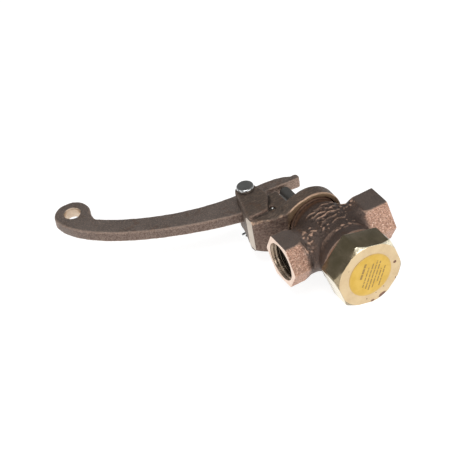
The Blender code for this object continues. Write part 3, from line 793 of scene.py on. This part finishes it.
def label(paper, ink):
    """A round sticker with plain printed bars."""
    disc = turned("label_disc", [(0, LABEL_BACK), (LABEL_RADIUS, LABEL_BACK),
                                 (LABEL_RADIUS, LABEL_FRONT + 0.06), (12.42, LABEL_FRONT), (8, LABEL_FRONT),
                                 (4, LABEL_FRONT), (0, LABEL_FRONT)], "Y", paper, steps=128)
    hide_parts("cap_label")
    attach(disc, "valve")
    random = np.random.default_rng(5)
    lean = math.radians(65.0)
    along, aside = (math.cos(lean), math.sin(lean)), (math.sin(lean), -math.cos(lean))
    lines = [(-5.2, -2.5, 6.9, 0.62), (-2.4, -7.4, 4.6, 0.34), (-0.3, -8.2, 6.8, 0.34),
             (1.7, -9.0, 8.6, 0.34), (3.7, -7.6, 8.2, 0.34), (5.7, -4.0, 3.8, 0.34), (7.6, -6.6, 5.6, 0.34)]
    bm = bmesh.new()
    for offset, start, end, half in lines:
        at = start
        while at < end:
            length = min(random.uniform(1.2, 3.4), end - at)
            corners = []
            for s, t in ((at, -half), (at + length, -half), (at + length, half), (at, half)):
                u, w = s + 0.15 * t, offset + t
                corners.append((along[0] * u + aside[0] * w, along[1] * u + aside[1] * w))
            low = [bm.verts.new((x * MM, (LABEL_FRONT - 0.001) * MM, z * MM)) for x, z in corners]
            high = [bm.verts.new((x * MM, (LABEL_FRONT - 0.03) * MM, z * MM)) for x, z in corners]
            bm.faces.new(low)
            bm.faces.new(high)
            for i in range(4):
                bm.faces.new((low[i], low[(i + 1) % 4], high[(i + 1) % 4], high[i]))
            at += length + 0.45
    mesh = bpy.data.meshes.new("label_bars")
    bm.to_mesh(mesh)
    bm.free()
    bars = finished("label_bars", mesh, ink)
    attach(bars, "valve")


# ---------------------------------------------------------------- the yoke

def yoke(bronze, machined):
    f = Field((-34.5, 15.0, -19.0), (19.0, 57.0, 19.0))
    about_y = np.hypot(f.x, f.z)
    join_height = math.sqrt(RING_RADIUS ** 2 - 4.5 ** 2)
    top = [(ARM_END, ARM_HEIGHT)]
    for i in range(13):
        t = i / 12
        top.append((-23.0 + 18.5 * t, ARM_HEIGHT + (join_height - ARM_HEIGHT) * t * t * (3 - 2 * t)))
    joint = math.degrees(math.atan2(join_height, -4.5))
    outline = top + arc((0, 0), RING_RADIUS, joint - 4, -joint, 60) + [(-31.2, -10.3), (ARM_END, -9.1)]
    plan = polygon(outline, f.x, f.z)
    shape = both(plan, slab(f.y, RING_FRONT, RING_BACK), 0.35)
    arm_plan = np.maximum(plan, f.x + RING_RADIUS)
    shape = union(shape, both(arm_plan, slab(f.y, RING_FRONT, 27.2), 0.6), 1.6)
    web_top = 41.3
    web = polygon([(ARM_END, 26.8), (-8.0, 23.8), (-8.0, web_top), (-29.6, web_top), (ARM_END, 30.8)],
                  f.x, f.y)
    shape = union(shape, both(web, np.abs(f.z) - 9.4, 0.6), 2.2)
    boss = both(about_y - 6.5, slab(f.y, 22.0, 31.0), 0.7)
    shape = union(shape, boss, 1.2)
    ears = polygon([(-31.8, 27.8), (-20.6, 27.8), (-18.9, 31.2), (-15.6, 36.5), (-14.2, 40.0),
                    (-14.6, 44.0)] + arc(PIN, 5.8, 0, 190, 20) + [(-32.1, 30.8)], f.x, f.y)
    shape = union(shape, both(ears, np.abs(f.z) - 12.0, 0.8), 0.9)
    slope = (25.4 - RING_FRONT) / (SWEEP_START - ARM_END)
    beyond = -50.0
    sweep = polygon([(SWEEP_START, RING_FRONT), (SWEEP_START, 10.0), (beyond, 10.0),
                     (beyond, RING_FRONT + slope * (SWEEP_START - beyond))], f.x, f.y)
    shape = without(shape, sweep, 1.6)
    shape = without(shape, both(about_y - 14.6, f.y - 21.4), 0.2)
    shape = without(shape, about_y - 3.6, 0.4)
    shape = without(shape, both(np.abs(f.z) - 3.55, web_top - f.y), 0.5)
    shape = without(shape, np.hypot(f.x - PIN[0], f.y - PIN[1]) - 3.4, 0.3)
    socket = np.hypot(f.x - SET_SCREW[0], f.y - SET_SCREW[1])
    shape = without(shape, both(socket - 1.6, 3.0 - f.z), 0.25)
    piece = cast_piece("yoke_casting", f, shape, [bronze, machined], 0.06, 8)
    trimmed(piece, (-32.15, 0, 0), (-1, 0, 0), 1)
    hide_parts("yoke")
    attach(piece, "valve")


# ---------------------------------------------------------------- the lever

def lever(bronze, machined):
    f = Field((-114.2, 40.2, -4.4), (13.0, 114.0, 4.4))
    tail = [(10.4, 49.5), (11.4, 51.2), (11.2, 53.6), (9.6, 54.4), (7.6, 54.2), (4.6, 56.2), (0.0, 57.9),
            (-6.0, 58.7), (-14.0, 59.0)]
    back = bezier((-23.6, 59.0), (-48.5, 60.5), (-76.6, 73.3), (-94.4, 90.3), 24)
    front = bezier((-112.3, 100.0), (-108.0, 78.5), (-69.0, 54.0), (-29.0, 43.2), 28)
    outline = (tail + back + [(-94.7, 91.9), (-94.6, 94.0)] + arc(EYE, 10.0, -36, 176, 36) + front
               + arc(PIN, 7.0, -108, -38, 10) + [(-12.0, 48.8), (-7.7, 51.2)])
    plan = polygon(outline, f.x, f.y)
    shape = both(plan, np.abs(f.z) - 3.2, 0.75)
    shape = without(shape, np.hypot(f.x - EYE[0], f.y - EYE[1]) - 4.4, 0.35)
    shape = without(shape, np.hypot(f.x - PIN[0], f.y - PIN[1]) - 3.4, 0.2)
    piece = cast_piece("lever_casting", f, shape, [bronze, machined], 0.08, 14)
    for face in piece.data.polygons:
        x, y, _ = face.center / MM
        if math.hypot(x - EYE[0], y - EYE[1]) < 4.75:
            face.material_index = 1
    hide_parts("lever")
    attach(piece, "lever")


# ---------------------------------------------------------------- pin, stem and small pieces

def fulcrum(steel, head_top, dark_steel, washer_steel):
    low, top = 12.3, 14.7
    cotter_height, turn = -15.9, math.radians(195)
    outline = [(0, -18.4), (2.2, -18.4), (2.7, -18.1), (3.1, -17.6), (3.1, low), (4.55, low),
               (4.75, low + 0.2), (4.75, top - 0.75), (4.68, top - 0.5), (4.5, top - 0.25),
               (4.22, top - 0.07), (3.9, top), (3.4, top - 0.04), (2.2, top - 0.10), (0.9, top - 0.12),
               (0, top - 0.12)]
    pin = turned("pin", outline, "Z", [steel, head_top], centre=PIN, steps=96, angle=60.0,
                 zones=lambda number: 1 if number >= 10 else 0)
    hole = turned("hole", [(0, -6), (1.5, -6), (1.5, 6), (0, 6)], "X", steel, steps=32)
    hole.matrix_world = (Matrix.Translation((PIN[0] * MM, PIN[1] * MM, cotter_height * MM))
                         @ Matrix.Rotation(turn, 4, "Z"))
    carve(pin, hole)
    pin.data.set_sharp_from_angle(angle=math.radians(60))
    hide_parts("fulcrum_pin")
    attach(pin, "fulcrum")
    outline = [(3.4, -13.25), (3.45, -13.3), (5.3, -13.3), (5.4, -13.2), (5.4, -12.4), (5.3, -12.3),
               (3.45, -12.3), (3.4, -12.35)]
    washer = turned("pin_washer", outline, "Z", washer_steel, centre=PIN)
    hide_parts("fulcrum_washer")
    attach(washer, "fulcrum")
    half = 0.63
    flat = ([(7.35, 1.1), (6.6, 0.98), (5.8, 0.8), (5.1, 0.68), (4.4, half), (0.0, half), (-4.0, half)]
            + arc((-6.0, 0.0), 1.6, 60, 300, 24)
            + [(-4.0, -half), (0.0, -half), (3.6, -half), (4.2, -0.85), (4.6, -1.2), (4.9, -1.9)])
    path = [(PIN[0] + math.cos(turn) * x, PIN[1] + math.sin(turn) * x, cotter_height + z) for x, z in flat]
    cotter = wire("cotter", path, 0.55, dark_steel)
    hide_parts("cotter_pin")
    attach(cotter, "fulcrum")


def stem(dark_steel):
    dome = [(r, 46.9 + z) for r, z in arc((0, 0), 3.2, 0, 90, 14)][:-1] + [(0, 50.1)]
    outline = [(0, -15.6), (1.9, -15.6), (2.4, -15.1), (2.4, -3.6), (3.0, -3.6), (3.2, -3.4)] + dome
    piece = turned("stem_rod", outline, "Y", dark_steel, steps=64, angle=35.0)
    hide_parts("stem")
    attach(piece, "stem")


def set_screw(steel, dark):
    """A dark set screw with a bright domed end, seen in its socket."""
    outline = [(0, 3.3), (1.3, 3.3), (1.3, 8.7), (1.15, 8.85), (0.9, 8.85), (0.88, 9.1), (0.72, 9.4),
               (0.4, 9.6), (0, 9.65)]
    piece = turned("set_screw", outline, "Z", [dark, steel], centre=SET_SCREW, steps=48,
                   zones=lambda number: 1 if number >= 4 else 0)
    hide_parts("yoke_set_screw")
    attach(piece, "valve")


def spring(steel):
    """The return spring, with closed and ground end turns."""
    radius, thick, turns, steps = 7.3, 0.85, 5.5, 48
    low, high, end_pitch = -31.45, -12.05, 2.1
    middle = (high - low - 2 * end_pitch) / (turns - 2)
    path = []
    for i in range(int(turns * steps) + 1):
        turn = i / steps
        a = 2 * math.pi * turn
        along = low + end_pitch * min(turn, 1) + middle * min(max(turn - 1, 0), turns - 2)
        along += end_pitch * max(turn - (turns - 1), 0)
        path.append((radius * math.cos(a), along, radius * math.sin(a)))
    piece = wire("spring_coil", path, thick, steel, sides=16)
    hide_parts("return_spring")
    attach(piece, "valve")
    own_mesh(piece)


# ---------------------------------------------------------------- studio

def area_light(name, at, target, size, power):
    data = bpy.data.lights.new(name, "AREA")
    data.shape = "RECTANGLE"
    data.size, data.size_y = size
    data.energy = power
    lamp = bpy.data.objects.new(name, data)
    lamp.location = at
    lamp.rotation_euler = (Vector(target) - Vector(at)).to_track_quat("-Z", "Y").to_euler()
    bpy.context.scene.collection.objects.link(lamp)


def studio():
    scene = bpy.context.scene
    scene.view_settings.view_transform = "Standard"
    world = bpy.data.worlds.new("studio")
    scene.world = world
    world.use_nodes = True
    background = world.node_tree.nodes["Background"]
    background.inputs["Color"].default_value = (1.0, 0.99, 0.98, 1.0)
    background.inputs["Strength"].default_value = 0.30
    bm = bmesh.new()
    bmesh.ops.create_grid(bm, x_segments=8, y_segments=8, size=9.0)
    mesh = bpy.data.meshes.new("floor")
    bm.to_mesh(mesh)
    bm.free()
    n = Nodes("floor_white")
    grain = n.noise(0.02, 2.0)
    n.shader.inputs["Emission Color"].default_value = (1.0, 1.0, 1.0, 1.0)
    n.shader.inputs["Emission Strength"].default_value = 0.86
    material = n.finish(Base_Color=n.mix(grain, (0.34, 0.34, 0.34), (0.38, 0.38, 0.38)), Roughness=0.9)
    floor = bpy.data.objects.new("floor", mesh)
    floor.location.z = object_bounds()[0][2] - 0.0002
    mesh.materials.append(material)
    scene.collection.objects.link(floor)
    floor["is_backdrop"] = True
    area_light("key", (0.25, -0.85, 0.30), (0, 0, 0), (0.8, 0.35), 2.9)
    area_light("top", (-0.1, -0.1, 0.9), (0, 0.02, 0), (0.5, 0.5), 3.0)
    area_light("left", (-0.8, 0.1, 0.35), (-0.03, 0.03, 0), (0.4, 0.5), 0.9)
    area_light("front_left", (-0.62, -0.60, 0.32), (0.0, -0.02, 0), (0.22, 0.22), 0.7)


def camera():
    """The photograph's viewpoint: azimuth -22.2, elevation 39.5 and a roll of 10.7 degrees."""
    data = bpy.data.cameras.new("camera")
    data.lens, data.sensor_width = 126.3, 36.0
    data.clip_start, data.clip_end = 0.05, 30.0
    viewer = Vector((-0.29191, -0.71424, 0.63612)).normalized()
    up = Vector((0.4081, 0.50849, 0.75822))
    right = up.cross(viewer).normalized()
    up = viewer.cross(right)
    obj = bpy.data.objects.new("camera", data)
    turn = Matrix((right, up, viewer)).transposed().to_4x4()
    obj.matrix_world = Matrix.Translation((-0.2848, -0.5562, 0.5347)) @ turn
    bpy.context.scene.collection.objects.link(obj)
    bpy.context.scene.camera = obj


def repaint(frame, node, material):
    """Give a CAD node that stays a detailed material."""
    obj = frame["nodes"][node]
    for slot in obj.material_slots:
        slot.material = material


def main():
    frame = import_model()
    camera()
    bronze = cast_bronze("cast_bronze_body", (0.128, 0.094, 0.080), (0.67, 0.42, 0.31), (0.45, 0.80),
                         wear=0.5, ports=True)
    yoke_bronze = cast_bronze("cast_bronze_yoke", (0.146, 0.115, 0.094), (0.265, 0.185, 0.148),
                              (0.2, 0.95), sparkle=0.1, streaks=0.8,
                              ground=((0.34, 0.235, 0.145), 17.0, 17.9), wear=0.12)
    lever_bronze = cast_bronze("cast_bronze_lever", (0.215, 0.178, 0.158), (0.27, 0.20, 0.165),
                               (0.3, 0.85), sparkle=0.12, wear=0.4, tail=True)
    port_face = turned_metal("port_face", (0.83, 0.66, 0.55), "X", rough=(0.3, 0.5), stain=0.3)
    ground = turned_metal("ground_end", (0.62, 0.55, 0.47), "X", rough=(0.35, 0.55), pitch=0.9,
                          metallic=0.8)
    eye_face = turned_metal("eye_bore", (0.68, 0.56, 0.44), "Z", rough=(0.35, 0.55),
                            centre=(*EYE, 0.0), stain=0.3)
    thread_brass = turned_metal("thread_cut", (0.42, 0.34, 0.26), "X", rough=(0.2, 0.4), stain=0.6,
                                shade_within=(25.5, 29.5))
    cap_face = turned_metal("cap_turned", (0.70, 0.55, 0.34), "Y", rough=(0.38, 0.55), stain=0.3,
                            pitch=0.45, metallic=0.85)
    cap_side = mill_brass("cap_mill")
    pit_dark = matt("pit_dark", (0.30, 0.17, 0.12), rough=(0.6, 0.8))
    paper = label_paper("label_yellow")
    ink = matt("label_ink", (0.33, 0.20, 0.05), rough=(0.45, 0.6), bump=0.01)
    pin_steel = plain_metal("pin_steel", (0.66, 0.67, 0.67), rough=(0.12, 0.25))
    head_top = plain_metal("pin_head_top", (0.27, 0.275, 0.27), rough=(0.30, 0.50), bump=0.05)
    dark_steel = plain_metal("dark_steel", (0.17, 0.18, 0.18), rough=(0.30, 0.48))
    stem_steel = plain_metal("stem_steel", (0.16, 0.155, 0.145), rough=(0.45, 0.65), metallic=0.7)
    bright_steel = plain_metal("bright_steel", (0.62, 0.62, 0.60), rough=(0.15, 0.3))
    inner_brass = turned_metal("inner_brass", (0.66, 0.48, 0.24), "Y")
    rubber = matt("rubber_black", (0.025, 0.025, 0.025))
    graphite = matt("graphite", (0.07, 0.07, 0.07), rough=(0.4, 0.6))
    fibre = matt("fibre_red", (0.28, 0.13, 0.08))

    valve_body(bronze, port_face)
    port_thread("inlet_thread", -1, thread_brass)
    port_thread("outlet_thread", 1, thread_brass)
    cap(cap_face, cap_side, chamfer_brass("cap_chamfer"), pit_dark)
    label(paper, ink)
    yoke(yoke_bronze, ground)
    lever(lever_bronze, eye_face)
    fulcrum(pin_steel, head_top, dark_steel, pin_steel)
    stem(stem_steel)
    set_screw(bright_steel, dark_steel)
    spring(bright_steel)
    for node in ("seat_ring", "packing_washer", "packing_gland", "disc_washer", "disc_holder", "disc_nut"):
        repaint(frame, node, inner_brass)
    for node in ("packing_ring_inner", "packing_ring_outer"):
        repaint(frame, node, graphite)
    for node in ("cap_gasket", "yoke_gasket"):
        repaint(frame, node, fibre)
    repaint(frame, "seat_disc", rubber)
    studio()


main()
